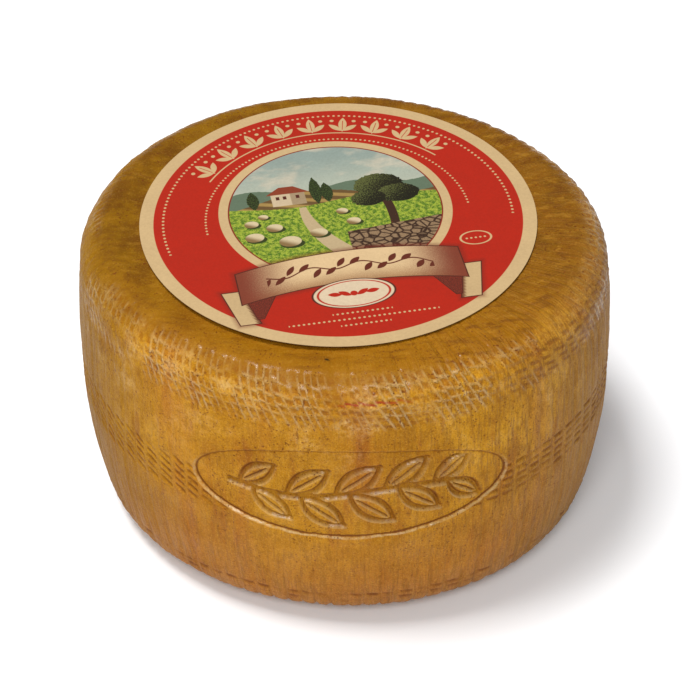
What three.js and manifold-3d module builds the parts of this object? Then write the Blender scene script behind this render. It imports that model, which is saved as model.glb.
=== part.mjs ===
// Canestrato: a whole wheel of hard sheep's cheese, pressed and drained in a rush basket,
// with a round paper label on its upper face.
//
// Millimetres, +Z up. The origin is the middle of the flat foot that the wheel stands on.
// -Y is the front of the wheel, where the mould has left an oval panel with a leafy sprig.

import * as THREE from 'three';
import { mergeVertices } from 'three/addons/utils/BufferGeometryUtils.js';
import Module from 'manifold-3d';

// ---- Driving dimensions -------------------------------------------------------------------

const HEIGHT = 134; // foot to upper face
const BELLY_RADIUS = 110.8; // mean radius at the widest level
const BELLY_LEVEL = 60; // height of the widest level
const TOP_RADIUS = 105.4; // the barrel's radius carried up to the upper face
const FOOT_RADIUS = 103.8; // the barrel's radius carried down to the foot
const SHOULDER = 13.5; // rounding of the upper edge
const HEEL = 14; // rounding of the lower edge

const OVALITY = 0.038; // the wheel is a little wider one way than the other
const OVALITY_TURN = THREE.MathUtils.degToRad(-12.6); // direction of its widest diameter
const LEAN_X = 0.0098; // the wheel settled to one side as it dried: sideways per height
const LEAN_Y = -0.0046;
const RISE_X = -0.0081; // slope of its upper face
const RISE_Y = 0.009;

const STAVES = 96; // upright ribs of the basket, counted round the wheel
const STAVE_VALLEY = 0.9; // depth of the groove between two ribs
const WEAVE_DENT = 0.9; // how far a cross strand of the basket dents a rib
const STRAND_PITCH = 3.7; // from one cross strand to the next
const LOW_BAND = { level: 13.8, strands: 2 }; // three woven bands, from their lowest strand
const MIDDLE_BAND = { level: 63.3, strands: 5 };
const HIGH_BAND = { level: 117.6, strands: 4 };

const PANEL_LEVEL = 78.4; // middle of the pressed oval panel
const PANEL_HALF_WIDTH = 68; // measured round the belly
const PANEL_HALF_HEIGHT = 23.5;
const PANEL_DEPTH = 1.7; // below the crests of the ribs
const LEAF_PAIRS = 5;
const LEAF_LENGTH = 23; // of the middle leaves
const LEAF_WIDTH = 10;
const LEAF_DEPTH = 1.1; // below the panel
const LEAF_LEAN = THREE.MathUtils.degToRad(38);
const END_LEAF_LOSS = 0.3; // how much smaller the leaves at the sprig's ends are
const STEM_LENGTH = 104;
const STEM_STEPS = 10;
const STEM_RADIUS = 1.2;

const LABEL_RADIUS = 82.4;
const LABEL_THICKNESS = 0.4;
const LABEL_GAP = 0.2; // paper rests on the highest points of the rind
const LABEL_X = -2.0; // the label was put on slightly off centre
const LABEL_Y = 2.9;

const FRONT = -Math.PI / 2;
const LABEL_SIDES = 96;
const PANEL_SIDES = 36;
const CORE_COLUMNS = 60;

// ---- Solids for joining and cutting -------------------------------------------------------

const wasm = await Module();
wasm.setup();

// A closed geometry becomes a solid. Only its positions count.
function toSolid(geometry) {
  const bare = new THREE.BufferGeometry();
  bare.setAttribute('position', geometry.getAttribute('position').clone());
  if (geometry.index) bare.setIndex(geometry.index.clone());
  const merged = mergeVertices(bare, 1e-4);
  return new wasm.Manifold(new wasm.Mesh({
    numProp: 3,
    vertProperties: new Float32Array(merged.getAttribute('position').array),
    triVerts: new Uint32Array(merged.index.array),
  }));
}

// The solid's vertices and triangles as a geometry again.
function toGeometry(solid) {
  const mesh = solid.getMesh();
  const geometry = new THREE.BufferGeometry();
  geometry.setAttribute('position', new THREE.BufferAttribute(mesh.vertProperties, 3));
  geometry.setIndex(new THREE.BufferAttribute(mesh.triVerts, 1));
  geometry.computeVertexNormals();
  return geometry;
}

// ---- The wheel's form ---------------------------------------------------------------------

// Radius of the bulging barrel at a height, before the edges are rounded.
function barrelRadius(z) {
  const above = z > BELLY_LEVEL;
  const reach = above ? HEIGHT - BELLY_LEVEL : BELLY_LEVEL;
  const loss = BELLY_RADIUS - (above ? TOP_RADIUS : FOOT_RADIUS);
  return BELLY_RADIUS - loss * ((z - BELLY_LEVEL) / reach) ** 2;
}

// How far the surface has turned from upright: -90 degrees at the foot, +90 at the top.
function surfaceTilt(z) {
  if (z > HEIGHT - SHOULDER) return Math.asin((z - HEIGHT + SHOULDER) / SHOULDER);
  if (z < HEEL) return -Math.asin((HEEL - z) / HEEL);
  return 0;
}

function wheelRadius(z) {
  const rounding = z > BELLY_LEVEL ? SHOULDER : HEEL;
  return barrelRadius(z) - rounding * (1 - Math.cos(surfaceTilt(z)));
}

// Where a place of the straight wheel is on the leaning one.
function leaned(x, y, z) {
  const above = z - HEIGHT / 2;
  const share = THREE.MathUtils.clamp((2 * above) / HEIGHT, 0, 1);
  return new THREE.Vector3(
    x + LEAN_X * above, y + LEAN_Y * above, z + share * (RISE_X * x + RISE_Y * y));
}

// A point of the wheel at an angle and a height, sunk below the crests by a depth.
function wheelPoint(angle, z, depth) {
  const stretch = 1 + OVALITY * Math.cos(2 * (angle - OVALITY_TURN));
  const tilt = surfaceTilt(z);
  const radius = wheelRadius(z) * stretch - depth * Math.cos(tilt);
  return leaned(radius * Math.cos(angle), radius * Math.sin(angle), z - depth * Math.sin(tilt));
}

// Closed skin over a grid of columns and levels, with a flat foot and a flat upper face.
function wheelGeometry(columns, levels, depthAt) {
  const points = [];
  for (let row = 0; row < levels.length; row += 1) {
    for (let column = 0; column < columns; column += 1) {
      const angle = FRONT + (2 * Math.PI * column) / columns;
      points.push(wheelPoint(angle, levels[row], depthAt(column, row)));
    }
  }
  const triangles = [];
  for (let row = 0; row + 1 < levels.length; row += 1) {
    for (let column = 0; column < columns; column += 1) {
      const a = row * columns + column;
      const b = row * columns + ((column + 1) % columns);
      triangles.push(a, b, b + columns, a, b + columns, a + columns);
    }
  }
  const foot = points.push(leaned(0, 0, levels[0])) - 1;
  const crown = points.push(leaned(0, 0, levels[levels.length - 1])) - 1;
  const rim = (levels.length - 1) * columns;
  for (let column = 0; column < columns; column += 1) {
    const next = (column + 1) % columns;
    triangles.push(foot, next, column);
    triangles.push(crown, rim + column, rim + next);
  }
  const geometry = new THREE.BufferGeometry().setFromPoints(points);
  geometry.setIndex(triangles);
  return geometry;
}

// Heights of one woven band: each strand's own level and the crests between the strands.
function bandLevels(band) {
  const levels = [];
  for (let half = 0; half <= 2 * (band.strands - 1); half += 1) {
    levels.push(band.level + (half * STRAND_PITCH) / 2);
  }
  return levels;
}

function isStrandLevel(z) {
  return [LOW_BAND, MIDDLE_BAND, HIGH_BAND].some((band) => {
    const step = (z - band.level) / STRAND_PITCH;
    return step > -0.01 && step < band.strands - 0.99 && Math.abs(step - Math.round(step)) < 0.01;
  });
}

// The pressed wheel: ribs from the basket's staves, dented where its cross strands pass.
function ribbedWheel() {
  const levels = [
    0, HEEL * 0.17, HEEL * 0.6,
    ...bandLevels(LOW_BAND), LOW_BAND.level + 1.5 * STRAND_PITCH,
    40,
    MIDDLE_BAND.level - STRAND_PITCH / 2, ...bandLevels(MIDDLE_BAND),
    99,
    ...bandLevels(HIGH_BAND),
    HEIGHT - SHOULDER * 0.14, HEIGHT,
  ];
  const depthAt = (column, row) => {
    const z = levels[row];
    if (z === 0 || z === HEIGHT) return 0;
    const valley = column % 2 === 1;
    if (valley) return STAVE_VALLEY;
    return isStrandLevel(z) ? WEAVE_DENT : 0;
  };
  return toSolid(wheelGeometry(2 * STAVES, levels, depthAt));
}

// ---- The oval panel and its sprig ---------------------------------------------------------

// Angle of a place on the front, given its distance round the belly from the middle.
function frontAngle(across) {
  return FRONT + across / BELLY_RADIUS;
}

// An oval plug that passes through the skin of the wheel's front.
function panelPlug() {
  const reach = [0.85, 1.4]; // its two ends, as shares of the wheel's radius
  const points = [];
  for (const share of reach) {
    for (let side = 0; side < PANEL_SIDES; side += 1) {
      const turn = (2 * Math.PI * side) / PANEL_SIDES;
      const angle = frontAngle(PANEL_HALF_WIDTH * Math.cos(turn));
      const z = PANEL_LEVEL + PANEL_HALF_HEIGHT * Math.sin(turn);
      const radius = BELLY_RADIUS * share;
      points.push(leaned(radius * Math.cos(angle), radius * Math.sin(angle), z));
    }
    points.push(leaned(0, -BELLY_RADIUS * share, PANEL_LEVEL));
  }
  const ring = PANEL_SIDES + 1;
  const triangles = [];
  for (let side = 0; side < PANEL_SIDES; side += 1) {
    const next = (side + 1) % PANEL_SIDES;
    triangles.push(side, ring + next, ring + side, side, next, ring + next);
    triangles.push(PANEL_SIDES, next, side);
    triangles.push(ring + PANEL_SIDES, ring + side, ring + next);
  }
  const geometry = new THREE.BufferGeometry().setFromPoints(points);
  geometry.setIndex(triangles);
  return toSolid(geometry);
}

// What lies deeper than the panel's floor.
function core() {
  const levels = [2, 20, 40, 54, 66, 78, 90, 103, 120, 131];
  return toSolid(wheelGeometry(CORE_COLUMNS, levels, () => PANEL_DEPTH));
}

// Height of the sprig's wavy stem at a distance across the panel.
function stemLevel(across) {
  return PANEL_LEVEL + 2.5 * Math.sin((across / STEM_LENGTH) * 2 * Math.PI);
}

// A groove along the stem.
function stemCutter() {
  const route = [];
  for (let step = 0; step <= STEM_STEPS; step += 1) {
    const across = STEM_LENGTH * (step / STEM_STEPS - 0.5);
    route.push(wheelPoint(frontAngle(across), stemLevel(across), PANEL_DEPTH));
  }
  const section = new THREE.Shape();
  section.absarc(0, 0, STEM_RADIUS, 0, 2 * Math.PI);
  return toSolid(new THREE.ExtrudeGeometry(section, {
    steps: STEM_STEPS,
    curveSegments: 5,
    bevelEnabled: false,
    extrudePath: new THREE.CatmullRomCurve3(route),
  }));
}

// A leaf's dent: a flattened ball laid on the panel's floor, leaning away from the stem.
function leafCutter(across, side) {
  const size = 1 - END_LEAF_LOSS * ((across + 8) / 55) ** 2;
  const lean = side * LEAF_LEAN;
  const reach = LEAF_LENGTH * size * 0.56;
  const leafAcross = across + reach * Math.cos(lean);
  const angle = frontAngle(leafAcross);
  const z = stemLevel(across) + reach * Math.sin(lean);
  const geometry = new THREE.SphereGeometry(1, 8, 4);
  geometry.scale((LEAF_LENGTH * size) / 2, (LEAF_WIDTH * size) / 2, LEAF_DEPTH);
  geometry.rotateZ(lean);
  geometry.rotateX(Math.PI / 2);
  geometry.rotateZ(angle - FRONT);
  geometry.translate(...wheelPoint(angle, z, PANEL_DEPTH).toArray());
  return toSolid(geometry);
}

function sprigCutters() {
  const cutters = [stemCutter()];
  for (let pair = 0; pair < LEAF_PAIRS; pair += 1) {
    const across = STEM_LENGTH * ((pair + 0.2) / LEAF_PAIRS - 0.5);
    cutters.push(leafCutter(across, 1), leafCutter(across + 6, -1));
  }
  return cutters;
}

// ---- The object ---------------------------------------------------------------------------

function cheeseWheel() {
  const sprig = wasm.Manifold.union(sprigCutters());
  const wheel = ribbedWheel().subtract(panelPlug().subtract(core())).subtract(sprig);
  const rind = new THREE.MeshStandardMaterial({ color: 0xb07f2a, roughness: 0.5, metalness: 0 });
  const mesh = new THREE.Mesh(toGeometry(wheel), rind);
  mesh.name = 'cheese_wheel';
  return mesh;
}

function paperLabel() {
  const disc = new THREE.CylinderGeometry(LABEL_RADIUS, LABEL_RADIUS, LABEL_THICKNESS, LABEL_SIDES);
  const paper = new THREE.MeshStandardMaterial({ color: 0xc03322, roughness: 0.55, metalness: 0 });
  const mesh = new THREE.Mesh(disc, paper);
  mesh.name = 'label';
  const outward = new THREE.Vector3(-RISE_X, -RISE_Y, 1).normalize();
  mesh.quaternion.setFromUnitVectors(new THREE.Vector3(0, 1, 0), outward);
  mesh.position.copy(leaned(LABEL_X, LABEL_Y, HEIGHT));
  mesh.position.addScaledVector(outward, LABEL_GAP + LABEL_THICKNESS / 2);
  return mesh;
}

const canestrato = new THREE.Group();
canestrato.add(cheeseWheel(), paperLabel());

export default canestrato;
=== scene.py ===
import math
from types import SimpleNamespace

import bpy
import numpy as np
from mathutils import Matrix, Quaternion, Vector, noise


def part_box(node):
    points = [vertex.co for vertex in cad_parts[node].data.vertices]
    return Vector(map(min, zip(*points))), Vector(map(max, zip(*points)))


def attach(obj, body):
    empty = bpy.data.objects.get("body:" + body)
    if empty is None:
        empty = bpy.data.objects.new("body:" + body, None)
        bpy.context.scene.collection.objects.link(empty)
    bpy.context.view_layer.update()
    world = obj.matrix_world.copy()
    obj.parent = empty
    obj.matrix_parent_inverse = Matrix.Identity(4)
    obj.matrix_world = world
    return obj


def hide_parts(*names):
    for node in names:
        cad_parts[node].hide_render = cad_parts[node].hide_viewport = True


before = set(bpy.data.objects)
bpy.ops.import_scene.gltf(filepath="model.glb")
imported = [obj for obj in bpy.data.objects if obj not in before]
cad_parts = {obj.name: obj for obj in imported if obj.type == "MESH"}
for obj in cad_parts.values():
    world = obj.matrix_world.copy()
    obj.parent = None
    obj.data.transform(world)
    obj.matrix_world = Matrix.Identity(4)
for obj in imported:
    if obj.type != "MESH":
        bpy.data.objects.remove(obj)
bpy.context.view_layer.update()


# ---- The wheel ------------------------------------------------------------------------------
# One pressed wheel of hard sheep's cheese, some 22 cm across, oiled as it ripened. The curd
# drained in a rush basket, so the rind has a groove for every stave and three woven bands where
# cross strands held them. A carved oval block stood in the basket's front.

# Sizes are in millimetres.
MM = 0.001
HEIGHT = 134
BELLY_RADIUS = 110.8  # mean of the widest and narrowest
BELLY_LEVEL = 60
TOP_RADIUS = 105.4  # the barrel's radius carried up to the upper face
FOOT_RADIUS = 103.8  # and down to the foot
SHOULDER = 13.5
HEEL = 14
OVALITY = 0.038
OVALITY_TURN = math.radians(-12.6)
LEAN = (0.0098, -0.0046)  # the wheel has settled to one side as it dried
RISE = (-0.0081, 0.0090)  # slope of its upper face
FRONT = -math.pi / 2

STAVES = 96
COLUMNS = 7 * STAVES
STRAND_PITCH = 3.7
LOW_BAND = (13.8, 2)  # level of the lowest strand, number of strands
MIDDLE_BAND = (63.3, 5)
HIGH_BAND_LEVEL = 115.4  # from here the weave goes on over the shoulder
WEAVE_LEAN = 0.32  # how far its strands slope, in strands for each stave

PANEL_LEVEL = 78.4
PANEL_HALF_WIDTH = 68
PANEL_HALF_HEIGHT = 23.5
PANEL_DEPTH = 1.1
LIP_RISE = 0.15  # the raised rim round the panel
SPRIG_DEPTH = 1.65
MIDDLE_DENT = 0.85
LOW_DENT = 0.6
WEAVE_DEPTH = 0.6

# Up to each level, the rows of points lie this far apart: closest where strands cross.
ROW_STEPS = (
    (12, 2.4), (21, 0.95), (54, 3.6), (61, 1.2), (81, 1.0), (103, 1.2), (112, 2.5),
    (HEIGHT - 0.4, 0.95))


def barrel_radius(z):
    """Radius of the bulging side at a height, before the edges are rounded."""
    reach = np.where(z > BELLY_LEVEL, HEIGHT - BELLY_LEVEL, BELLY_LEVEL)
    loss = BELLY_RADIUS - np.where(z > BELLY_LEVEL, TOP_RADIUS, FOOT_RADIUS)
    return BELLY_RADIUS - loss * ((z - BELLY_LEVEL) / reach) ** 2


def wheel_outline():
    """The half section from the foot's middle to the upper face's middle, as fine points."""
    turn = np.radians(np.linspace(-90, 0, 60))
    heel_z = HEEL * (1 + np.sin(turn))
    heel_r = barrel_radius(heel_z) - HEEL * (1 - np.cos(turn))
    side_z = np.linspace(HEEL, HEIGHT - SHOULDER, 200)[1:-1]
    turn = np.radians(np.linspace(0, 90, 60))
    shoulder_z = HEIGHT - SHOULDER * (1 - np.sin(turn))
    shoulder_r = barrel_radius(shoulder_z) - SHOULDER * (1 - np.cos(turn))
    across_foot = np.linspace(0, heel_r[0], 60)[:-1]
    across_top = np.linspace(shoulder_r[-1], 0, 60)[1:]
    r = np.concatenate([across_foot, heel_r, barrel_radius(side_z), shoulder_r, across_top])
    z = np.concatenate([0 * across_foot, heel_z, side_z, shoulder_z, 0 * across_top + HEIGHT])
    return r, z


outline_r, outline_z = wheel_outline()
outline_path = np.concatenate([[0], np.cumsum(np.hypot(np.diff(outline_r), np.diff(outline_z)))])
outline_turn = np.arctan2(outline_z - HEIGHT / 2, outline_r)  # seen from the wheel's heart
outline_tilt = np.arctan2(-np.gradient(outline_r), np.gradient(outline_z))


def row_step(r, z):
    """Distance from one row of points to the next."""
    if z < 1:
        return 26 if r < 80 else 4
    for top, step in ROW_STEPS:
        if z < top:
            return step
    return 1.9 if r > 76 else 38


def outline_rows():
    """Places along the outline where the section gets a point."""
    path, rows = 0.0, []
    while path < outline_path[-1] - 12:
        r, z = np.interp(path, outline_path, outline_r), np.interp(path, outline_path, outline_z)
        rows.append((r, z))
        path += row_step(r, z)
    return rows + [(0.0, HEIGHT)]


# The section is drawn point by point and spun round the axis.
bpy.ops.object.select_all(action="DESELECT")
bpy.ops.mesh.primitive_plane_add(size=0.001, location=(0, 0, 0))
wheel = bpy.context.object
wheel.name = wheel.data.name = "pressed_wheel"
bpy.ops.object.mode_set(mode="EDIT")
bpy.ops.mesh.select_all(action="SELECT")
bpy.ops.mesh.merge(type="CENTER")
rows = outline_rows()
for (r0, z0), (r1, z1) in zip(rows, rows[1:]):
    step = ((r1 - r0) * MM, 0, (z1 - z0) * MM)
    bpy.ops.mesh.extrude_vertices_move(TRANSFORM_OT_translate={"value": step})
bpy.ops.mesh.select_all(action="SELECT")
bpy.ops.mesh.spin(steps=COLUMNS, angle=2 * math.pi, center=(0, 0, 0), axis=(0, 0, 1))
bpy.ops.mesh.select_all(action="SELECT")
bpy.ops.mesh.remove_doubles(threshold=0.00002)
bpy.ops.mesh.normals_make_consistent(inside=False)
bpy.ops.mesh.select_all(action="DESELECT")
bpy.ops.object.mode_set(mode="OBJECT")


def read_points(mesh):
    points = np.empty(len(mesh.vertices) * 3)
    mesh.vertices.foreach_get("co", points)
    return points.reshape(-1, 3)


def write_points(mesh, points):
    mesh.vertices.foreach_set("co", points.ravel())
    mesh.update()


def front_distance(points):
    """Millimetres round the belly from the middle of the front, to the right."""
    angle = np.arctan2(points[:, 1], points[:, 0]) - FRONT
    return (np.mod(angle + math.pi, 2 * math.pi) - math.pi) * BELLY_RADIUS


def panel_edge_distance(across, level):
    """Millimetres outside the oval panel's edge, less than nothing inside it."""
    x, y = across / PANEL_HALF_WIDTH, (level - PANEL_LEVEL) / PANEL_HALF_HEIGHT
    share = np.hypot(x, y) + 1e-6
    slope = np.hypot(x / PANEL_HALF_WIDTH, y / PANEL_HALF_HEIGHT)
    return (share - 1) * share / (slope + 1e-6)


# The panel and a margin round it get points twice as close.
centres = np.array([face.center for face in wheel.data.polygons])
near_panel = panel_edge_distance(front_distance(centres), centres[:, 2] / MM) < 3
near_panel &= np.hypot(centres[:, 0], centres[:, 1]) / MM > 95
wheel.data.polygons.foreach_set("select", near_panel)
bpy.ops.object.mode_set(mode="EDIT")
bpy.ops.mesh.subdivide(number_cuts=1)
bpy.ops.mesh.select_all(action="DESELECT")
bpy.ops.object.mode_set(mode="OBJECT")

# Where each point lies on the smooth wheel.
points = read_points(wheel.data)
angle = np.arctan2(points[:, 1], points[:, 0])
turn = np.arctan2(points[:, 2] / MM - HEIGHT / 2, np.hypot(points[:, 0], points[:, 1]) / MM)
radius = np.interp(turn, outline_turn, outline_r)
level = np.interp(turn, outline_turn, outline_z)
tilt = np.interp(turn, outline_turn, outline_tilt)
path = np.interp(turn, outline_turn, outline_path)
across = front_distance(points)
on_top = level > HEIGHT - 0.01
on_foot = level < 0.01


def ease(low, high, values):
    """0 below low, 1 above high and a smooth rise between them."""
    share = np.clip((values - low) / (high - low), 0, 1)
    return share * share * (3 - 2 * share)


def ridge(values, width):
    """A smooth bump of height 1 round nought."""
    return np.exp(-((values / width) ** 2))


def wander(grain_round, grain_up, seed):
    """Smooth random values between -1 and 1 over the rind, with the two grain sizes in mm."""
    x = np.cos(angle) * BELLY_RADIUS / grain_round
    y = np.sin(angle) * BELLY_RADIUS / grain_round
    z = path / grain_up + seed * 7.31
    return np.array([noise.noise(Vector(place)) for place in zip(x, y, z)])


draw = np.random.default_rng(11)
GROOVE_DRAW = draw.uniform(0.35, 1.15, STAVES)
STRAND_DRAW = draw.uniform(0.35, 1.2, (STAVES, 16))

# Staves run upright, and lean a little to the left where the basket closes over the shoulder.
# Each pressed a groove, and the cheese swelled between them to a rounded rib.
stave_slip = 0.07 * np.clip(level - 108, 0, None)
stave_slip += 0.10 * wander(60, 45, 1) + 0.32 * wander(13, 70, 12)
stave = across / BELLY_RADIUS / (2 * math.pi) * STAVES + stave_slip
rib = np.floor(stave).astype(int)
beside = stave - rib - 0.5  # nought on the rib's crest
groove = np.round(stave).astype(int) % STAVES
side_zone = ease(66, 92, radius) * np.where(on_foot, 0, 1)
right_side = ease(-0.1, 0.75, np.cos(angle))
left_side = ease(-0.1, 0.8, np.cos(angle - math.radians(205)))
low_zone = ease(44, 18, level)
grooves = 0.60 * GROOVE_DRAW[groove] * ridge(0.5 - np.abs(beside), 0.12)
grooves += 0.30 * GROOVE_DRAW[(rib * 7 + 3) % STAVES] * ridge(beside, 0.10)
grooves *= side_zone * (0.65 + 0.35 * np.maximum(low_zone, right_side))
grooves *= 0.75 + 0.7 * wander(9, 30, 2)
swell = np.abs(2 * beside) ** 2.5 * side_zone
swell *= 0.12 + 0.50 * np.maximum(low_zone, 0.6 * right_side)
swell *= 0.5 + GROOVE_DRAW[groove] * 0.6

# Thin stalks of the rushes leave finer, broken lines between the staves.
stalks = 0.14 * wander(1.8, 16, 3) + 0.16 * wander(4.5, 26, 5) + 0.12 * wander(3.2, 4.5, 4)
stalks *= (0.45 + 0.55 * ease(96, 104, radius)) * ease(60, 96, radius)
stalks *= np.where(on_foot, 0.2, 1)


def strands(band, lean):
    """Dents of one woven band: a short dash across every rib, each pressed a little differently."""
    first, count = band
    row = (level - first) / STRAND_PITCH + lean * beside
    step = np.clip(np.round(row).astype(int), 0, count - 1)
    held = STRAND_DRAW[rib % STAVES, step] * ease(0.42, 0.30, np.abs(beside))
    return ridge(row - step, 0.24) * held


panel_distance = panel_edge_distance(across, level)
outside_panel = ease(-1.0, 2.0, panel_distance)
dash_lean = 0.12 + 0.75 * left_side
middle_dashes = strands(MIDDLE_BAND, dash_lean) * outside_panel
low_dashes = strands(LOW_BAND, 0.1) * np.clip(0.75 + 1.2 * wander(9, 7, 14), 0, 1)

# Over the shoulder the weave is tight: low raised lines in both directions round small hollows.
# It is drawn strongest in front on the left, where the pale colour of its lines is partly painted
# highlight.
high_zone = ease(HIGH_BAND_LEVEL - 4, HIGH_BAND_LEVEL - 1, level)
high_zone *= ease(HEIGHT - 0.5, HEIGHT - 2.2, level)
weave_row = (level - HIGH_BAND_LEVEL) / STRAND_PITCH
weave_row += 0.20 * wander(24, 12, 9) + 0.16 * wander(7, 9, 10)
row = weave_row + WEAVE_LEAN * beside
step = np.clip(np.round(row).astype(int), 0, STRAND_DRAW.shape[1] - 1)
cross_line = ridge(row - np.round(row), 0.17) * STRAND_DRAW[rib % STAVES, step]
upright_line = ridge(0.5 - np.abs(beside), 0.10) * STRAND_DRAW[groove, step]
upright_line = np.maximum(upright_line, 0.7 * ridge(beside, 0.10))  # each stave is two stalks
weave_rise = np.clip(np.maximum(0.9 * cross_line, 0.8 * upright_line), 0, 1)
front_left = ease(0.64, 0.86, np.cos(angle - math.radians(262)))
weave_patch = ease(-0.35, 0.30, wander(26, 12, 6))
elsewhere = 0.15 * right_side + 0.50 * weave_patch
woven = high_zone * (front_left * (0.60 + 0.40 * weave_patch) + (1 - front_left) * elsewhere)
lattice = (1 - weave_rise) * (0.30 * high_zone + 0.70 * woven)
grooves *= 1 - 0.75 * high_zone * np.maximum(weave_patch, front_left)

# The carved block pressed an oval with a leafy sprig, drawn in it with a round gouge.
SPRIG_LENGTH = 104
STEM_MIDDLE = -3  # the stem stops at the foot of the last leaves on the right
STEM_HALF_LENGTH = 48
LEAF_PAIRS = 5
LEAF_LENGTH = 23
LEAF_WIDTH = 10
LEAF_LEAN = math.radians(38)


def stem_level(across):
    return PANEL_LEVEL + 2.5 * np.sin(across / SPRIG_LENGTH * 2 * math.pi)


def leaf_strokes(across_stem, side, level):
    """Millimetres to the nearest stroke of one leaf: its outline or its thin middle vein."""
    size = 1 - 0.30 * ((across_stem + 8) / 55) ** 2
    length, width = LEAF_LENGTH * size, LEAF_WIDTH * size
    lean = side * LEAF_LEAN
    x = across - across_stem
    y = level - stem_level(across_stem)
    along = x * math.cos(lean) + y * math.sin(lean) - length * 0.56
    over = np.abs(-x * math.sin(lean) + y * math.cos(lean))
    share = np.clip(np.abs(2 * along / length), 0, 1)
    past_tip = np.clip(np.abs(along) - length / 2, 0, None)
    outline = np.hypot(over - width / 2 * (1 - share**2), past_tip)
    vein = over + 0.75 + 2 * ease(0.6, 1, share)
    return np.minimum(outline, vein)


def sprig_strokes(level):
    """Millimetres to the nearest stroke of the whole sprig."""
    past_end = np.clip(np.abs(across - STEM_MIDDLE) - STEM_HALF_LENGTH, 0, None)
    nearest = np.hypot(np.clip(np.abs(level - stem_level(across)) - 0.3, 0, None), past_end)
    for pair in range(LEAF_PAIRS):
        foot_of_leaf = SPRIG_LENGTH * ((pair + 0.2) / LEAF_PAIRS - 0.5)
        nearest = np.minimum(nearest, leaf_strokes(foot_of_leaf, 1, level))
        nearest = np.minimum(nearest, leaf_strokes(foot_of_leaf + 6, -1, level))
    return nearest


carved = sprig_strokes(level)
within_panel = ease(-2.0, -3.5, panel_distance) * np.where(np.abs(across) < 80, 1, 0)
sprig = ease(1.6, 0.5, carved) * within_panel
upper_wall = (sprig_strokes(level + 0.6) - carved) / 0.6 * ease(2.1, 1.6, carved) * within_panel

panel = PANEL_DEPTH * ease(0.5, -0.5, panel_distance) + 0.20 * ridge(panel_distance + 1.0, 0.6)
panel_lip = ridge(panel_distance - 1.1, 0.6)

# The wheel is uneven all over, its upper face sinks a little towards the edge, and a crumb is
# missing from it in front.
lumps = 0.20 * (1 + wander(55, 60, 7)) + 0.16 * (1 + wander(17, 22, 8))
lumps *= np.where(on_foot, 0, 1)
sink = (0.1 + 1.3 * left_side) * ridge(radius - 84, 6)
sink *= ease(HEIGHT - 6, HEIGHT, level)
crumb_hole = 1.2 * ridge(np.hypot(across + 7.5, radius - 88) * np.where(on_top, 1, 9), 1.6)

depth = 0.05 + lumps + sink + crumb_hole
depth += outside_panel * (grooves + swell + stalks + 0.10)
depth += (1 - outside_panel) * (0.30 * grooves + 0.6 * stalks + 0.25)
depth += panel - LIP_RISE * panel_lip + SPRIG_DEPTH * sprig
depth += MIDDLE_DENT * middle_dashes + LOW_DENT * low_dashes + WEAVE_DEPTH * lattice
depth = np.where(on_foot, 0, np.clip(depth, 0.02, None))


def leaned(x, y, z):
    """Where a place of the straight wheel is on the real one, in metres."""
    above = z - HEIGHT / 2
    rise = np.clip(2 * above / HEIGHT, 0, 1) * (RISE[0] * x + RISE[1] * y)
    return np.transpose([x + LEAN[0] * above, y + LEAN[1] * above, z + rise]) * MM


stretch = 1 + OVALITY * np.cos(2 * (angle - OVALITY_TURN))
reach = radius * stretch - depth * np.cos(tilt)
points = leaned(reach * np.cos(angle), reach * np.sin(angle), level - depth * np.sin(tilt))
write_points(wheel.data, points)


def store(mesh, name, values):
    """Keeps a value for each point, for the material to read."""
    attribute = mesh.attributes.new(name, "FLOAT", "POINT")
    attribute.data.foreach_set("value", values.astype(np.float32))


# What the material reads: how stained each place is, with painted shade on the carved strokes'
# upper walls, where their lower walls get a painted highlight, where the woven bands are, and the
# coordinates that let it draw the strands finer than the points lie.
stain_and_shade = 0.45 * grooves + 1.0 * low_dashes + 0.50 * middle_dashes
# The carved strokes' upper walls get painted shade here, added to the stain in the dents.
stain_and_shade += 0.38 * sprig + 0.90 * np.clip(upper_wall, 0, 1) * ease(0.2, 0.8, carved)
# Painted highlight: the carved strokes' lower walls, which face up, are drawn pale and get the
# coat's gloss.
lower_wall_glint = 0.8 * np.clip(-upper_wall, 0, 1) * ease(0.7, 1.3, carved)
base_row = (level - np.where(level < 40, LOW_BAND[0], MIDDLE_BAND[0])) / STRAND_PITCH
middle_zone = ease(-0.75, -0.45, base_row) * ease(4.75, 4.45, base_row) * (level > 40)
dashed = middle_zone * outside_panel * np.clip(0.85 + 1.1 * wander(11, 7, 13), 0, 1)
dashed += 0.85 * ease(112, 115, level) * ease(131.5, 128, level) * right_side * (1 - front_left)
store(wheel.data, "stain_and_shade", np.clip(stain_and_shade, 0, 1))
store(wheel.data, "lower_wall_glint", np.clip(lower_wall_glint, 0, 1))
store(wheel.data, "woven", woven)
store(wheel.data, "dashed", dashed)
store(wheel.data, "stave_slip", stave_slip)
store(wheel.data, "row", np.where(level > 100, weave_row, base_row))
store(wheel.data, "row_lean", np.where(level > 100, WEAVE_LEAN, dash_lean))
store(wheel.data, "panel_edge", np.clip(panel_distance, -6, 6) * MM)
bpy.ops.object.shade_smooth()

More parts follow.
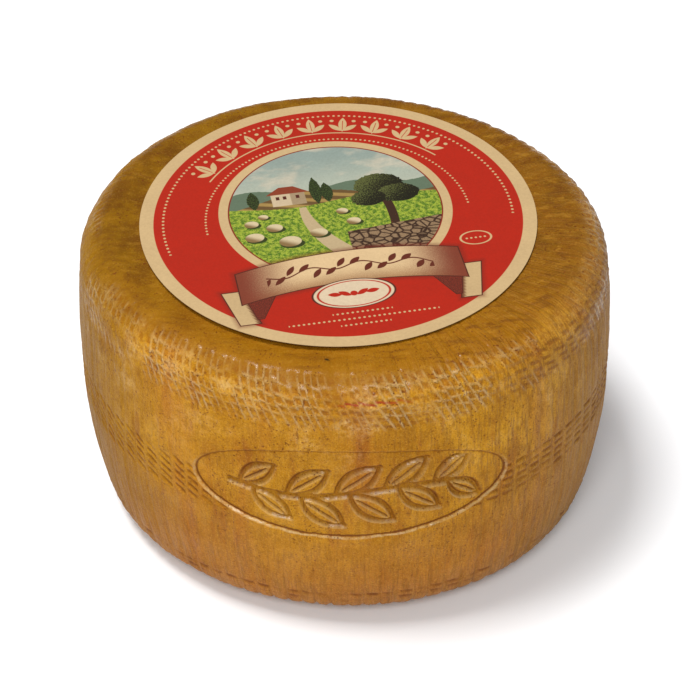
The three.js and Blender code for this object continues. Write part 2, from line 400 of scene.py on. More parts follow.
# The rind's colours: golden ochre, red-brown where oil and dust lie in the dents, with painted
# shade on the carved strokes' upper walls, rubbed pale and waxy on the shoulder's weave, partly as
# painted highlight, and darker, almost olive, on the upper face.
GOLD = (0.600, 0.285, 0.012)
OCHRE = (0.475, 0.205, 0.009)
DEEP_OCHRE = (0.345, 0.132, 0.007)
STRAW = (0.720, 0.385, 0.050)
RED_FLUSH = (0.410, 0.122, 0.014)
SMEAR = (0.300, 0.082, 0.010)
LOW_RIND = (0.370, 0.122, 0.022)
FOOT_RIND = (0.395, 0.180, 0.060)
LEFT_RIND = (0.242, 0.116, 0.004)
RIGHT_RIND = (0.305, 0.164, 0.044)
OLIVE = (0.205, 0.090, 0.002)
DARK_OLIVE = (0.120, 0.044, 0.002)
UPPER_RIGHT_RIND = (0.165, 0.056, 0.002)
UPPER_FRONT_RIND = (0.310, 0.122, 0.003)
BRUSHED_OIL = (0.110, 0.032, 0.003)
BRUSHED_BARE = (0.400, 0.190, 0.020)
VELVET = (0.220, 0.078, 0.004)
STREAK = (0.250, 0.084, 0.006)
COMB_LINE = (0.240, 0.100, 0.014)
DARK_GRIT = (0.200, 0.066, 0.004)
PALE_GRIT = (0.700, 0.400, 0.070)
HOLLOW = (0.250, 0.074, 0.008)
STAIN_AND_SHADE = (0.160, 0.040, 0.008)
CRUMB_HOLE_SHADE = (0.026, 0.014, 0.006)
RED_THREAD = (0.330, 0.036, 0.012)
PANEL_EDGE_STAIN_AND_SHADE = (0.140, 0.032, 0.008)
WAX_AND_HIGHLIGHT = (0.780, 0.560, 0.260)
SCRATCH = (0.150, 0.034, 0.006)


class Sum:
    """A value that changes over a surface. Plain arithmetic on it adds nodes to its material."""

    def __init__(self, tree, socket):
        self.tree = tree
        self.socket = socket

    def set(self, socket, value):
        """Gives a node's input another value of this kind, or a plain number."""
        if isinstance(value, Sum):
            self.tree.links.new(value.socket, socket)
        else:
            socket.default_value = value

    def math(self, operation, *others):
        node = self.tree.nodes.new("ShaderNodeMath")
        node.operation = operation
        for socket, value in zip(node.inputs, (self,) + others):
            self.set(socket, value)
        return Sum(self.tree, node.outputs[0])

    def __add__(self, other):
        return self.math("ADD", other)

    def __sub__(self, other):
        return self.math("SUBTRACT", other)

    def __mul__(self, other):
        return self.math("MULTIPLY", other)

    def __truediv__(self, other):
        return self.math("DIVIDE", other)

    def __neg__(self):
        return self * -1

    def __rsub__(self, other):
        return -self + other

    def size(self):
        return self.math("ABSOLUTE")

    def least(self, other):
        return self.math("MINIMUM", other)

    def most(self, other):
        return self.math("MAXIMUM", other)

    def rise(self, low, high):
        """0 below low, 1 above high."""
        node = self.tree.nodes.new("ShaderNodeMapRange")
        node.interpolation_type = "SMOOTHSTEP"
        for name, value in (("Value", self), ("From Min", low), ("From Max", high)):
            self.set(node.inputs[name], value)
        return Sum(self.tree, node.outputs["Result"])


class Finish:
    """A material under construction: its node tree and the few nodes that every finish needs."""

    def __init__(self, name):
        self.material = bpy.data.materials.new(name)
        self.material.use_nodes = True
        self.tree = self.material.node_tree
        self.shader = self.tree.nodes["Principled BSDF"]
        coordinates = self.tree.nodes.new("ShaderNodeTexCoord")
        self.place = coordinates.outputs["Object"]
        split = self.tree.nodes.new("ShaderNodeSeparateXYZ")
        self.tree.links.new(self.place, split.inputs[0])
        self.x, self.y, self.z = [Sum(self.tree, socket) for socket in split.outputs]

    def joined(self, x, y, z):
        """A place made of three values."""
        node = self.tree.nodes.new("ShaderNodeCombineXYZ")
        for socket, value in zip(node.inputs, (x, y, z)):
            self.x.set(socket, value)
        return node.outputs[0]

    def noise(self, place, scale, detail, roughness):
        node = self.tree.nodes.new("ShaderNodeTexNoise")
        node.inputs["Scale"].default_value = scale
        node.inputs["Detail"].default_value = detail
        node.inputs["Roughness"].default_value = roughness
        self.tree.links.new(place, node.inputs["Vector"])
        return Sum(self.tree, node.outputs["Fac"])

    def attribute(self, name):
        node = self.tree.nodes.new("ShaderNodeAttribute")
        node.attribute_name = name
        return Sum(self.tree, node.outputs["Fac"])

    def mixed(self, share, under, over):
        """One colour laid over another."""
        node = self.tree.nodes.new("ShaderNodeMix")
        node.data_type = "RGBA"
        self.tree.links.new(share.socket, node.inputs["Factor"])
        for name, colour in (("A", under), ("B", over)):
            socket = [s for s in node.inputs if s.name == name and s.type == "RGBA"][0]
            if isinstance(colour, tuple):
                socket.default_value = colour + (1,)
            else:
                self.tree.links.new(colour, socket)
        return [s for s in node.outputs if s.type == "RGBA"][0]

    def feed(self, name, value):
        socket = value.socket if isinstance(value, Sum) else value
        self.tree.links.new(socket, self.shader.inputs[name])

    def bump(self, height, depth_mm):
        node = self.tree.nodes.new("ShaderNodeBump")
        node.inputs["Strength"].default_value = 1
        node.inputs["Distance"].default_value = depth_mm * MM
        self.tree.links.new(height.socket, node.inputs["Height"])
        self.feed("Normal", node.outputs["Normal"])


def rind_grain(rind):
    """The rind's grain, from broad clouds to fine grit, some of it drawn out along the staves."""
    drawn_radius = 0.11  # in metres, where what is drawn out keeps its size
    radius = (rind.x * rind.x + rind.y * rind.y).math("SQRT").most(0.004)
    round_x = rind.x / radius * drawn_radius
    round_y = rind.y / radius * drawn_radius
    up = rind.z - radius + drawn_radius  # height on the side, and on inwards over the upper face
    along_staves = rind.joined(round_x, round_y, up * 0.20)
    along_hairs = rind.joined(round_x, round_y, up * 0.11)
    along_scratches = rind.joined(round_x, round_y, up * 0.14)
    along_brush = rind.joined(rind.x * 0.22, rind.y, up * 0.5)
    return SimpleNamespace(
        up=up,
        cloud=rind.noise(rind.place, 16, 3, 0.55),
        patch=rind.noise(rind.place, 70, 4, 0.62),
        velvet=rind.noise(rind.place, 420, 4, 0.70),
        speck=rind.noise(rind.place, 1000, 1, 0.5),
        grit=rind.noise(rind.place, 1500, 2, 0.6),
        flush=rind.noise(along_staves, 42, 3, 0.6),
        cluster=rind.noise(along_staves, 75, 2, 0.6),
        smear=rind.noise(along_staves, 150, 2, 0.55),
        streak=rind.noise(along_staves, 330, 3, 0.6),
        comb=rind.noise(along_hairs, 900, 1, 0.5),
        scratch=rind.noise(along_scratches, 900, 2, 0.5),
        brush=rind.noise(along_brush, 260, 3, 0.6))


def strand_drawing(rind, grain, ragged):
    """The woven strands, drawn from the same coordinates as the relief."""
    above = rind.z - HEIGHT / 2 * MM
    straight_x, straight_y = rind.x - above * LEAN[0], rind.y - above * LEAN[1]
    stave = straight_x.math("ARCTAN2", -straight_y) * (STAVES / (2 * math.pi))
    beside = (stave + rind.attribute("stave_slip")).math("FRACT") - 0.5
    row = rind.attribute("row") + rind.attribute("row_lean") * beside
    off_row = ((row + 0.5).math("FRACT") - 0.5 + ragged * 0.7).size()
    edge_of_rib = 0.5 - beside.size()
    dash = off_row.rise(0.32, 0.08) * (edge_of_rib + ragged * 0.3).rise(0.08, 0.24)
    cross = off_row.rise(0.28, 0.02) * row.rise(0.2, 1.4) * grain.velvet.rise(0.34, 0.52)
    beside_stalk = beside.size().math("PINGPONG", 0.25)
    upright = (beside_stalk + ragged * 0.30).rise(0.15, 0.0)
    broken = grain.cluster.rise(0.36, 0.60) * grain.velvet.rise(0.30, 0.58)
    woven = rind.attribute("woven")
    return SimpleNamespace(
        row=row,
        woven=woven,
        dash=dash * rind.attribute("dashed"),
        lines=(cross * 0.85).most(upright) * woven * broken,
        hollows=(1 - off_row.rise(0.34, 0.10).most(upright)) * woven)


def side_colour(rind, grain, low):
    """Patchy ochre, flushed red-brown in places, browner low down and duller to both sides."""
    up, cloud, patch = grain.up, grain.cloud, grain.patch
    colour = rind.mixed(cloud.rise(0.35, 0.68), GOLD, OCHRE)
    colour = rind.mixed(patch.rise(0.40, 0.72) * 0.60, colour, DEEP_OCHRE)
    colour = rind.mixed(patch.rise(0.44, 0.24) * 0.55, colour, STRAW)
    colour = rind.mixed(grain.flush.rise(0.48, 0.68) * 0.55, colour, RED_FLUSH)
    colour = rind.mixed(grain.smear.rise(0.56, 0.72) * 0.55, colour, SMEAR)
    colour = rind.mixed(low * 0.75, colour, LOW_RIND)
    foot = (up + (grain.cluster - 0.5) * 0.03).rise(0.034, 0.010)
    colour = rind.mixed(foot * 0.70, colour, FOOT_RIND)
    left = (-rind.x + rind.y * 0.3 + (cloud - 0.5) * 0.06).rise(0.035, 0.105)
    colour = rind.mixed(left * 0.88, colour, LEFT_RIND)
    right = (rind.x + rind.y * 0.2 - up * 0.2 + (patch - 0.5) * 0.05).rise(0.010, 0.085)
    return rind.mixed(right * 0.72, colour, RIGHT_RIND)


def upper_face_colour(rind, grain, front, right_hand):
    """Mottled olive, more golden in front, with strokes from the brush that oiled it."""
    patch, brush = grain.patch, grain.brush
    colour = rind.mixed(patch.rise(0.38, 0.66), OLIVE, DARK_OLIVE)
    colour = rind.mixed(right_hand * patch.rise(0.64, 0.36) * 0.8, colour, UPPER_RIGHT_RIND)
    colour = rind.mixed(front * 0.75, colour, UPPER_FRONT_RIND)
    oiled = brush.rise(0.50, 0.66) * (right_hand * 0.35 + 0.40)
    colour = rind.mixed(oiled, colour, BRUSHED_OIL)
    bare = brush.rise(0.46, 0.32) * (right_hand * 0.20 + 0.22)
    return rind.mixed(bare, colour, BRUSHED_BARE)


def rind_finish():
    rind = Finish("oiled_rind")
    grain = rind_grain(rind)
    up, cloud, patch, velvet, grit = grain.up, grain.cloud, grain.patch, grain.velvet, grain.grit
    ragged = (velvet - 0.5) * 0.55 + (patch - 0.5) * 0.45
    strand = strand_drawing(rind, grain, ragged)
    stain_and_shade = rind.attribute("stain_and_shade")
    lower_wall_glint = rind.attribute("lower_wall_glint")
    off_panel_edge = rind.attribute("panel_edge") / MM

    front = (-rind.y + (cloud - 0.5) * 0.05).rise(0.010, 0.085)
    right_hand = rind.x.rise(-0.030, 0.070)
    low = (up + (patch - 0.5) * 0.04).rise(0.085, 0.012)
    top = (up + (cloud - 0.5) * 0.02 + (velvet - 0.5) * 0.008).rise(0.130, 0.146)
    side = side_colour(rind, grain, low)
    upper_face = upper_face_colour(rind, grain, front, right_hand)
    colour = rind.mixed(top * 0.92, side, upper_face)

    # Grain and upright lines, weaker on the upper face, which is smoother than the side.
    coarse = 1 - top * 0.55
    lined = (right_hand.most(low) * 0.40 + 0.20) * (top * (right_hand * 0.7 - 0.9) + 1)
    colour = rind.mixed(velvet.rise(0.46, 0.72) * coarse * 0.45, colour, VELVET)
    colour = rind.mixed(grain.streak.rise(0.50, 0.72) * lined * 0.8, colour, STREAK)
    colour = rind.mixed(grain.comb.rise(0.48, 0.62) * lined * 0.65, colour, COMB_LINE)
    colour = rind.mixed(grit.rise(0.50, 0.72) * coarse * 0.35, colour, DARK_GRIT)
    colour = rind.mixed(grit.rise(0.48, 0.30) * coarse * 0.25, colour, PALE_GRIT)

    # Darker colour in the dents and along the panel's edge, with painted shade on the carved
    # strokes' upper walls, in the crumb hole and in the groove round the panel's edge.
    colour = rind.mixed(strand.hollows * velvet.rise(0.34, 0.58) * 0.56, colour, HOLLOW)
    # Painted shade on the carved strokes' upper walls comes in with the stain in the dents.
    colour = rind.mixed(stain_and_shade.rise(0.08, 0.9).most(strand.dash * 0.75) * 0.82, colour, STAIN_AND_SHADE)
    # Painted shade: the crumb hole in the upper face is coloured almost black.
    hole_x, hole_y = rind.x + 0.0068, rind.y + 0.0852
    off_hole = (hole_x * hole_x + hole_y * hole_y * 1.6).math("SQRT") + ragged * 0.0022
    colour = rind.mixed(off_hole.rise(0.0015, 0.0004) * top * 0.88, colour, CRUMB_HOLE_SHADE)
    thread = (strand.row - 2.5 + ragged * 0.4).size().rise(0.20, 0.06) * strand.woven * front
    thread = thread * rind.x.rise(-0.006, 0.002) * rind.x.rise(0.030, 0.020)
    colour = rind.mixed(thread * 0.85, colour, RED_THREAD)
    # Painted shade, with some stain, in the groove round the panel's edge, strongest at its lower
    # side.
    edge_stain_and_shade = (off_panel_edge + 0.75 + ragged * 1.4).size().rise(0.65, 0.10)
    edge_stain_and_shade = edge_stain_and_shade * (rind.z.rise(0.100, 0.076) * 0.55 + 0.45)
    colour = rind.mixed(edge_stain_and_shade * 0.80, colour, PANEL_EDGE_STAIN_AND_SHADE)

    # What stands proud is pale, and has the most gloss. The pale on the strands is partly rubbed
    # wax and partly painted highlight. On the panel's lower lip and the carved strokes' lower walls
    # it is painted highlight, and in the waxy patches it is partly painted sheen.
    # Painted highlight: the panel's lower lip, which faces up, is drawn pale.
    lip_highlight = (off_panel_edge - 0.15 + ragged * 1.2).size().rise(0.65, 0.10)
    lip_highlight = lip_highlight * rind.z.rise(0.092, 0.066) * (velvet.rise(0.40, 0.56) * 0.6 + 0.4)
    above_panel = front * up.rise(0.084, 0.110) * (1 - top)
    # The waxy patches on the front of the shoulder and on the weave are partly painted sheen.
    wax_and_sheen = patch.rise(0.50, 0.30) * velvet.rise(0.56, 0.40)
    wax_and_sheen = wax_and_sheen * (above_panel * 0.35 + strand.woven * 0.6)
    pale = (strand.lines * 0.44).most(lower_wall_glint * 0.34).most(lip_highlight * 0.44).most(wax_and_sheen * 0.34)
    colour = rind.mixed(pale, colour, WAX_AND_HIGHLIGHT)
    marks = grain.scratch.rise(0.64, 0.72) * grain.cluster.rise(0.46, 0.66) * 0.7
    marks = marks.most(grain.speck.rise(0.64, 0.72) * grain.cluster.rise(0.36, 0.56))
    colour = rind.mixed(marks * 0.75, colour, SCRATCH)
    rind.feed("Base Color", colour)

    sparks = grit.rise(0.52, 0.62) * patch.rise(0.58, 0.40)
    sparks = sparks * (strand.woven * 0.6 + front * 0.25 + 0.05)
    shine = strand.lines.most(lower_wall_glint).most(lip_highlight).most(wax_and_sheen).most(sparks)
    rind.feed("Coat Weight", shine * 0.95 + 0.01)
    rind.feed("Roughness", stain_and_shade * 0.10 + (patch - 0.5) * 0.25 + 0.50)
    height = (grain.streak * 0.30 + grain.comb) * (lined + 0.1)
    height = height + (velvet * 0.36 + grit * 0.16) * coarse
    height = height + strand.lines * 0.50 - strand.hollows * 0.12 - strand.dash * 0.30
    height = height - marks * 0.14 - edge_stain_and_shade * 0.25
    rind.bump(height, 1.0)
    rind.shader.inputs["Subsurface Weight"].default_value = 0.06
    rind.shader.inputs["Subsurface Radius"].default_value = (1.0, 0.45, 0.15)
    rind.shader.inputs["Subsurface Scale"].default_value = 0.0020
    rind.shader.inputs["Coat Roughness"].default_value = 0.15
    rind.shader.inputs["IOR"].default_value = 1.45
    rind.shader.inputs["Specular IOR Level"].default_value = 0.06
    return rind.material


wheel.data.materials.clear()
wheel.data.materials.append(rind_finish())
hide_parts("cheese_wheel")
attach(wheel, "root")


# ---- The paper label ------------------------------------------------------------------------
# A disc of coated paper, laid on the upper face after ripening. It is printed red with a cream
# edge, and its middle holds a country scene in a cream ring above a folded ribbon.

label_low, label_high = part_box("label")
LABEL_RADIUS = (label_high.x - label_low.x) / 2
LABEL_X = (label_high.x + label_low.x) / 2
LABEL_Y = (label_high.y + label_low.y) / 2
LABEL_LEVEL = (label_high.z + label_low.z) / 2  # of its middle, as it slopes with the upper face
LABEL_TURN = math.radians(10)  # laid down turned to the left
PAPER = 0.00018

bpy.ops.object.select_all(action="DESELECT")
bpy.ops.mesh.primitive_circle_add(
    vertices=192, radius=LABEL_RADIUS, fill_type="NGON", location=(LABEL_X, LABEL_Y, LABEL_LEVEL))
label = bpy.context.object
label.name = label.data.name = "printed_label"
bpy.ops.object.transform_apply(location=True, rotation=False, scale=False)
bpy.ops.object.mode_set(mode="EDIT")
bpy.ops.mesh.select_all(action="SELECT")
for ring in range(14):
    bpy.ops.mesh.inset(thickness=LABEL_RADIUS / 16)
bpy.ops.mesh.select_all(action="DESELECT")
bpy.ops.object.mode_set(mode="OBJECT")

# The paper lies a little wavy, and its left edge has come free.
points = read_points(label.data)
from_middle = np.hypot(points[:, 0] - LABEL_X, points[:, 1] - LABEL_Y) / LABEL_RADIUS
heading = np.arctan2(points[:, 1] - LABEL_Y, points[:, 0] - LABEL_X)
wave = 0.05 * np.sin(3 * heading + 0.6) + 0.03 * np.sin(7 * heading + 2)
lift = 0.10 * ease(0.2, 1, np.cos(heading - math.radians(200)))
slope = RISE[0] * (points[:, 0] - LABEL_X) + RISE[1] * (points[:, 1] - LABEL_Y)
points[:, 2] = LABEL_LEVEL + slope + (ease(0.6, 1, from_middle) * (wave + lift) - 0.14) * MM
write_points(label.data, points)
thickness = label.modifiers.new("paper", "SOLIDIFY")
thickness.thickness = PAPER
thickness.offset = 1
bpy.ops.object.modifier_apply(modifier=thickness.name)
bpy.ops.object.shade_smooth_by_angle(angle=math.radians(40))

# Places on the print are in millimetres from the label's middle, to the right and up.
RED_RADIUS = 76.6
DOT_CIRCLES = (  # radius, from dot to dot, radius of a dot, how far round to each side
    (72.6, 2.3, 0.55, 1.75), (55.0, 2.0, 0.48, 1.62))
DOT_ROWS = ((-62.2, 12), (-65.8, 30), (-69.4, 10))  # height on the label, half length
SEAL = (52.5, -25.5)
PLAQUE = (-3.2, -50.6)
PICTURE = (-0.3, 4.5)
RING_RADIUS = 48.8
RING_INK_RADIUS = 44.9
PICTURE_RADIUS = 44.3
GARLAND_RADIUS = 65.2
GARLAND_SPRIGS = 9
GARLAND_REACH = math.radians(111)
RIBBON_HEIGHT = 19.2
RIBBON_HALF_LENGTH = 45.6
CREAM = (0.660, 0.460, 0.225)
RED = (0.485, 0.019, 0.006)
DARK_INK = (0.085, 0.018, 0.010)

# In the picture, from its own middle.
CYPRESSES = (((-6, 14.5), 19), ((-1.5, 12.5), 14), ((-33, 12), 13))  # middle, height
FARMHOUSE = (-18, 11)
WINDOWS = (-22.5, -19.5, -14.0)
BALES = (  # across, up, size
    (-36, -3.5, 2.6), (-30.5, 0.5, 1.9), (-27, -7.5, 3.0), (-36, -12.5, 3.4),
    (2.5, -1.5, 2.2), (-22, -17.5, 4.0), (-9.5, -14.0, 3.2), (6.0, -9.0, 2.6))
OAK_CROWNS = (  # middle, half width, half height
    ((21, 13), 10.5, 8.2), ((28, 6.5), 9, 6.2), ((15, 5), 7.5, 5.2))


def inked(edge):
    """1 inside a printed shape, from the distance to its edge, which is positive inside."""
    return edge.rise(-0.14, 0.14)


def oval_edge(x, y, middle, half_width, half_height):
    across, up = (x - middle[0]) / half_width, (y - middle[1]) / half_height
    return (1 - (across * across + up * up).math("SQRT")) * min(half_width, half_height)


def leaf_edge(x, y, middle, lean, length, width):
    x, y = x - middle[0], y - middle[1]
    along = x * math.cos(lean) + y * math.sin(lean)
    over = y * math.cos(lean) - x * math.sin(lean)
    share = along * (2 / length)
    return (1 - share * share) * (width / 2) - over.size()


def box_edge(x, y, middle, half_width, half_height):
    across = half_width - (x - middle[0]).size()
    up = half_height - (y - middle[1]).size()
    return across.least(up)


def line_edge(off_line, width):
    return width - off_line.size()


def beads(along, over, spacing, radius):
    """A row of round dots along a line."""
    along = along.math("PINGPONG", spacing / 2)
    return inked(radius - (along * along + over * over).math("SQRT"))


def dry_wall_stones(paper, x, y, fleck):
    cell = paper.tree.nodes.new("ShaderNodeTexVoronoi")
    cell.feature = "DISTANCE_TO_EDGE"
    cell.inputs["Scale"].default_value = 0.26
    paper.tree.links.new(paper.joined(x, y * 1.35, 0), cell.inputs["Vector"])
    joint = Sum(paper.tree, cell.outputs["Distance"])
    stones = paper.mixed(joint.rise(0.04, 0.16), (0.030, 0.016, 0.010), (0.330, 0.215, 0.115))
    return paper.mixed(fleck.rise(0.45, 0.65) * 0.5, stones, (0.120, 0.065, 0.030))


def country_scene(paper, x, y):
    """Hills, a striped field, a farmhouse, cypresses, a meadow with bales, an oak and a wall."""
    place = paper.joined(x, y, 0)
    tuft = paper.noise(place, 0.55, 3, 0.65)
    fleck = paper.noise(place, 1.7, 2, 0.6)
    rough = (tuft - 0.5) * 3.2

    cloud = paper.noise(paper.joined(x * 0.5, y, 3), 0.11, 3, 0.6)
    colour = paper.mixed(y.rise(14, 40), (0.470, 0.510, 0.400), (0.300, 0.370, 0.320))
    colour = paper.mixed(cloud.rise(0.48, 0.70) * 0.8, colour, (0.620, 0.560, 0.420))
    far_hill = (x * 0.14).math("SINE") * 2.2 + 16.5 + rough * 0.3
    colour = paper.mixed(inked(far_hill - y), colour, (0.130, 0.190, 0.120))
    near_hill = (x * 0.075 + 2.2).math("SINE") * 4.5 + 10.5 + rough * 0.3
    stripes = (x * 0.35 + y * 1.3).math("SINE").rise(-0.4, 0.6)
    field = paper.mixed(stripes, (0.150, 0.085, 0.028), (0.400, 0.255, 0.075))
    colour = paper.mixed(inked(near_hill - y), colour, field)

    for middle, height in CYPRESSES:
        crown = leaf_edge(x, y, middle, math.pi / 2, height, 5.2) + rough * 0.35
        tree = paper.mixed(fleck.rise(0.45, 0.6), (0.010, 0.022, 0.008), (0.050, 0.090, 0.020))
        colour = paper.mixed(inked(crown), colour, tree)
    lit_face = (-x - 17).rise(-0.3, 0.3)
    wall_face = paper.mixed(lit_face, (0.400, 0.290, 0.165), (0.640, 0.500, 0.310))
    colour = paper.mixed(inked(box_edge(x, y, FARMHOUSE, 7.2, 4.4)), colour, wall_face)
    roof = ((y - 14.6) * -1.25 + 9.2 - (x - FARMHOUSE[0]).size()).least(y - 14.6)
    colour = paper.mixed(inked(roof.least(19.5 - y)), colour, (0.270, 0.050, 0.020))
    for window in WINDOWS:
        colour = paper.mixed(inked(box_edge(x, y, (window, 12), 0.75, 1.1)), colour, DARK_INK)

    meadow_top = (x * 0.09).math("SINE") * 1.8 + 6.2 + rough * 0.25
    grass = paper.mixed(tuft.rise(0.38, 0.62), (0.080, 0.190, 0.014), (0.380, 0.480, 0.045))
    grass = paper.mixed(fleck.rise(0.55, 0.70) * 0.7, grass, (0.020, 0.055, 0.008))
    grass = paper.mixed(fleck.rise(0.42, 0.34) * 0.5, grass, (0.700, 0.560, 0.180))
    colour = paper.mixed(inked(meadow_top - y), colour, grass)
    lane = (1.9 - y * 0.11) - (y * y * 0.012 - y * 0.1 - x - 13).size()
    colour = paper.mixed(inked(lane.least(meadow_top - y - 0.5)), colour, (0.560, 0.420, 0.230))

    for across, up, size in BALES:
        shade = oval_edge(x, y, (across + 0.8, up - size * 0.45), size * 1.25, size * 0.7)
        colour = paper.mixed(inked(shade), colour, (0.030, 0.050, 0.010))
        lit = (y - up + (x - across) * 0.6).rise(-size * 0.7, size * 0.4)
        straw = paper.mixed(lit, (0.260, 0.160, 0.060), (0.720, 0.580, 0.350))
        bale = oval_edge(x, y, (across, up), size * 1.15, size * 0.85)
        colour = paper.mixed(inked(bale), colour, straw)

    trunk = box_edge(x + (y + 8) * (y + 8) * 0.008, y, (23, -6), 1.9, 12.5)
    colour = paper.mixed(inked(trunk + rough * 0.2), colour, (0.045, 0.022, 0.012))
    for middle, half_width, half_height in OAK_CROWNS:
        crown = oval_edge(x, y, middle, half_width, half_height) + rough * 0.8
        lit = (fleck + (y - x - middle[1] + middle[0]) * 0.015).rise(0.50, 0.66)
        leaves = paper.mixed(lit, (0.008, 0.014, 0.006), (0.110, 0.130, 0.035))
        colour = paper.mixed(inked(crown), colour, leaves)

    stones = dry_wall_stones(paper, x, y, fleck)
    wall_top = (x - 10) * 0.10 - 15.0 + rough * 0.25
    colour = paper.mixed(inked((wall_top - y).least(x - 2 + rough * 0.3)), colour, stones)
    poppies = fleck.rise(0.68, 0.72) * inked(y - wall_top).least(inked(-y - 7)) * x.rise(4, 8)
    return paper.mixed(poppies, colour, (0.550, 0.030, 0.010))


def garland(along, out):
    """A row of three-leaved sprigs that stand on a circle round the picture."""
    pitch = GARLAND_REACH / GARLAND_SPRIGS
    half = GARLAND_REACH / 2
    cell = ((along + half) / pitch).math("FRACT") - 0.5
    side, rise = cell * (pitch * 65), out - GARLAND_RADIUS
    middle = leaf_edge(side, rise, (0, 0.6), math.pi / 2, 10.6, 3.6)
    rib = line_edge(side, 0.16).least(line_edge(rise - 0.2, 3.4))
    ink = inked(middle) * (1 - inked(rib))
    for hand in (-1, 1):
        lean = math.pi / 2 - hand * 0.85
        ink = ink.most(inked(leaf_edge(side, rise, (hand * 3.3, -1.6), lean, 7.4, 2.7)))
        ink = ink.most(inked(oval_edge(side, rise, (hand * 4.6, 3.6), 0.85, 0.85)))
    foot_line = line_edge(rise + 5.6, 0.32)
    return ink.most(inked(foot_line)) * line_edge(along, half).rise(0, 0.002)


def vine(x, off_middle):
    """A wavy stem with two leaves to each swing."""
    waves = 0.30
    swing = (x * waves).math("SINE") * 1.6
    ink = inked(line_edge(off_middle - swing, 0.38).least(line_edge(x, 34)))
    hand = (x * waves + math.pi / 2).math("SINE").math("SIGN")
    cell = (x / (math.pi / waves)).math("FRACT") - 0.5
    for hop, lean in ((-0.22, 0.7), (0.24, 0.95)):
        along = (cell - hop) * (math.pi / waves)
        blade = leaf_edge(along, off_middle - hand * 2.3, (0, 0), lean, 6.4, 2.6)
        ink = ink.most(inked(blade.least(line_edge(x, 34))))
    return ink


def ribbon(paper, colour, x, y):
    """A ribbon laid across the picture's foot, its ends folded back and cut short."""
    x = x + 2
    side = x.size()
    grain = paper.noise(paper.joined(x, y, 5), 2.4, 2, 0.7)
    tail_middle = (y + 41) * 0.2275 + 48.8
    tail = line_edge(side - tail_middle, 3.9).least(line_edge(y + 51.3, 10.2))
    fold = (side - 31.5 + (y + 45) * 0.50).least(tail_middle - side - 3.9)
    fold = fold.least(y + 59).least(-y - 38)
    body_top = x * x * -0.0031 - 23.6
    body = (body_top - y).least(y - body_top + RIBBON_HEIGHT).least(RIBBON_HALF_LENGTH - side)
    teeth = (y * 1.1).math("PINGPONG", 0.5) * 2.6
    hatch = (side - tail_middle + teeth).rise(-2.4, -1.6)

    shadow = (body + 1.8).most(tail + 1.4)
    colour = paper.mixed(shadow.rise(-1.6, 1.4) * 0.55, colour, (0.190, 0.020, 0.010))
    colour = paper.mixed(inked(tail + 0.5), colour, DARK_INK)
    colour = paper.mixed(inked(tail), colour, (0.200, 0.080, 0.035))
    colour = paper.mixed(inked(tail) * hatch, colour, (0.620, 0.430, 0.210))
    colour = paper.mixed(inked(fold + 0.4), colour, DARK_INK)
    colour = paper.mixed(inked(fold) * grain.rise(0.40, 0.60), colour, (0.240, 0.035, 0.018))
    colour = paper.mixed(inked(body + 0.5), colour, DARK_INK)
    low = ((body_top - y) / RIBBON_HEIGHT + (grain - 0.5) * 0.5).rise(0.50, 1.15)
    cloth = paper.mixed(low, (0.780, 0.550, 0.290), (0.380, 0.190, 0.080))
    end = (side + (grain - 0.5) * 16).rise(18, 44)
    cloth = paper.mixed(end, cloth, (0.230, 0.050, 0.025))
    colour = paper.mixed(inked(body), colour, cloth)
    return paper.mixed(vine(x, y - body_top + 9.0), colour, (0.130, 0.025, 0.012))


def plaque(paper, colour, across, up):
    """A cream oval with a red line round it and four leaves."""
    x, y = across - PLAQUE[0], up - PLAQUE[1]
    edge = oval_edge(x, y, (0, 0), 16.2, 8.6)
    colour = paper.mixed(inked(edge + 0.45), colour, DARK_INK)
    colour = paper.mixed(inked(edge), colour, (0.760, 0.600, 0.400))
    colour = paper.mixed(inked(line_edge(edge - 0.9, 0.25)), colour, RED)
    for hand in (-1, 1):
        for reach, lean in ((3.6, 0.55), (7.6, 0.15)):
            blade = leaf_edge(x, y, (hand * reach, 0.4), hand * lean, 5.8, 2.5)
            colour = paper.mixed(inked(blade), colour, RED)
    return paper.mixed(inked(oval_edge(x, y, (0, 0), 1.5, 1.5)), colour, RED)


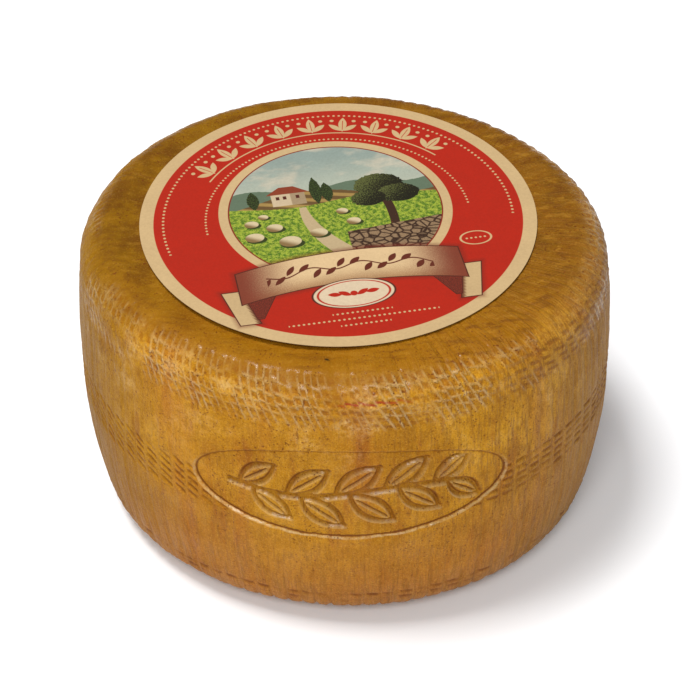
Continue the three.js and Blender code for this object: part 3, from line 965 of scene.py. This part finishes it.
def print_finish():
    paper = Finish("printed_paper")
    x = (paper.x - LABEL_X) / MM
    y = (paper.y - LABEL_Y) / MM
    across = x * math.cos(LABEL_TURN) + y * math.sin(LABEL_TURN)
    up = y * math.cos(LABEL_TURN) - x * math.sin(LABEL_TURN)
    out = (across * across + up * up).math("SQRT")
    round_label = across.math("ARCTAN2", up)  # from the top, positive to the right

    colour = paper.mixed(inked(RED_RADIUS - out), CREAM, RED)
    ink = garland(round_label, out)
    for radius, spacing, dot, reach in DOT_CIRCLES:
        dots = beads(round_label * radius, out - radius, spacing, dot)
        ink = ink.most(dots * line_edge(round_label, reach).rise(0, 0.01))
    for row_up, reach in DOT_ROWS:
        dots = beads(across + 2, up - row_up, 2.0, 0.5)
        ink = ink.most(dots * inked(line_edge(across + 2, reach)))
    seal = oval_edge(across, up, SEAL, 6.9, 4.6)
    ink = ink.most(inked(line_edge(seal - 0.35, 0.28)))
    ink = ink.most(beads(across - SEAL[0], up - SEAL[1], 1.9, 0.5) * inked(seal - 1.6))
    colour = paper.mixed(ink, colour, CREAM)

    picture_x, picture_y = across - PICTURE[0], up - PICTURE[1]
    from_picture = (picture_x * picture_x + picture_y * picture_y).math("SQRT")
    colour = paper.mixed(inked(RING_RADIUS - from_picture), colour, CREAM)
    colour = paper.mixed(inked(RING_INK_RADIUS - from_picture), colour, (0.250, 0.020, 0.010))
    scene = country_scene(paper, picture_x, picture_y)
    colour = paper.mixed(inked(PICTURE_RADIUS - from_picture), colour, scene)
    colour = ribbon(paper, colour, across, up)
    colour = plaque(paper, colour, across, up)

    rag = paper.noise(paper.place, 900, 3, 0.6)
    cloudy = paper.noise(paper.place, 60, 3, 0.6)
    aged = (rag - 0.5) * 0.22 + (cloudy - 0.5) * 0.16 + 0.28  # the varnish dulls the whole print
    colour = paper.mixed(aged, colour, (0.030, 0.008, 0.004))
    paper.feed("Base Color", colour)
    paper.feed("Roughness", cloudy * 0.16 + 0.40)
    paper.bump(rag * 0.5 + cloudy * 0.5, 0.05)
    paper.shader.inputs["IOR"].default_value = 1.45
    paper.shader.inputs["Specular IOR Level"].default_value = 0.15
    return paper.material


label.data.materials.clear()
label.data.materials.append(print_finish())
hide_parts("label")
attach(label, "root")


# ---- The studio -----------------------------------------------------------------------------
# The wheel stands on a white table, photographed from above the front with a long lens. A large
# soft lamp hangs high on the left, a second one is beside the camera, and the room is white.

bpy.ops.object.select_all(action="DESELECT")
bpy.ops.mesh.primitive_plane_add(size=8, location=(0, 0, 0))
table = bpy.context.object
table.name = "white_table"
white = bpy.data.materials.new("white_table")
white.use_nodes = True
white_shader = white.node_tree.nodes["Principled BSDF"]
white_shader.inputs["Base Color"].default_value = (0.93, 0.93, 0.935, 1)
white_shader.inputs["Roughness"].default_value = 0.9
white_shader.inputs["Specular IOR Level"].default_value = 0.1
table.data.materials.append(white)


def soft_lamp(name, towards, size, power, distance=4.0):
    """A square soft box that points at the wheel from a direction."""
    place = Vector(towards).normalized() * distance
    lamp = bpy.data.lights.new(name, "AREA")
    lamp.size = size
    lamp.energy = power
    holder = bpy.data.objects.new(name, lamp)
    bpy.context.scene.collection.objects.link(holder)
    holder.location = place + Vector((0, 0, HEIGHT / 2 * MM))
    holder.rotation_euler = (-place).to_track_quat("-Z", "Y").to_euler()


soft_lamp("high_lamp", towards=(-0.26, 0.02, 1.0), size=1.1, power=125)
soft_lamp("front_lamp", towards=(-0.12, -0.80, 0.95), size=1.8, power=76)

world = bpy.data.worlds.new("white_room")
world.use_nodes = True
room = world.node_tree.nodes["Background"]
room.inputs["Color"].default_value = (0.965, 0.990, 1.035, 1)
room.inputs["Strength"].default_value = 0.29
bpy.context.scene.world = world

# The camera's place was solved from the wheel's outline and the label's circles.
CAMERA_PLACE = Vector((0, -0.6451, 0.6214))
CAMERA_AIM = Vector((0.0024, 0, 0.0628))
CAMERA_ROLL = math.radians(-1.167)
camera_data = bpy.data.cameras.new("camera")
camera_data.sensor_width = 36
camera_data.lens = 100.1
camera = bpy.data.objects.new("camera", camera_data)
bpy.context.scene.collection.objects.link(camera)
camera.location = CAMERA_PLACE
look = (CAMERA_AIM - CAMERA_PLACE).to_track_quat("-Z", "Y") @ Quaternion((0, 0, 1), CAMERA_ROLL)
camera.rotation_euler = look.to_euler()
bpy.context.scene.camera = camera
bpy.context.scene.view_settings.view_transform = "Standard"
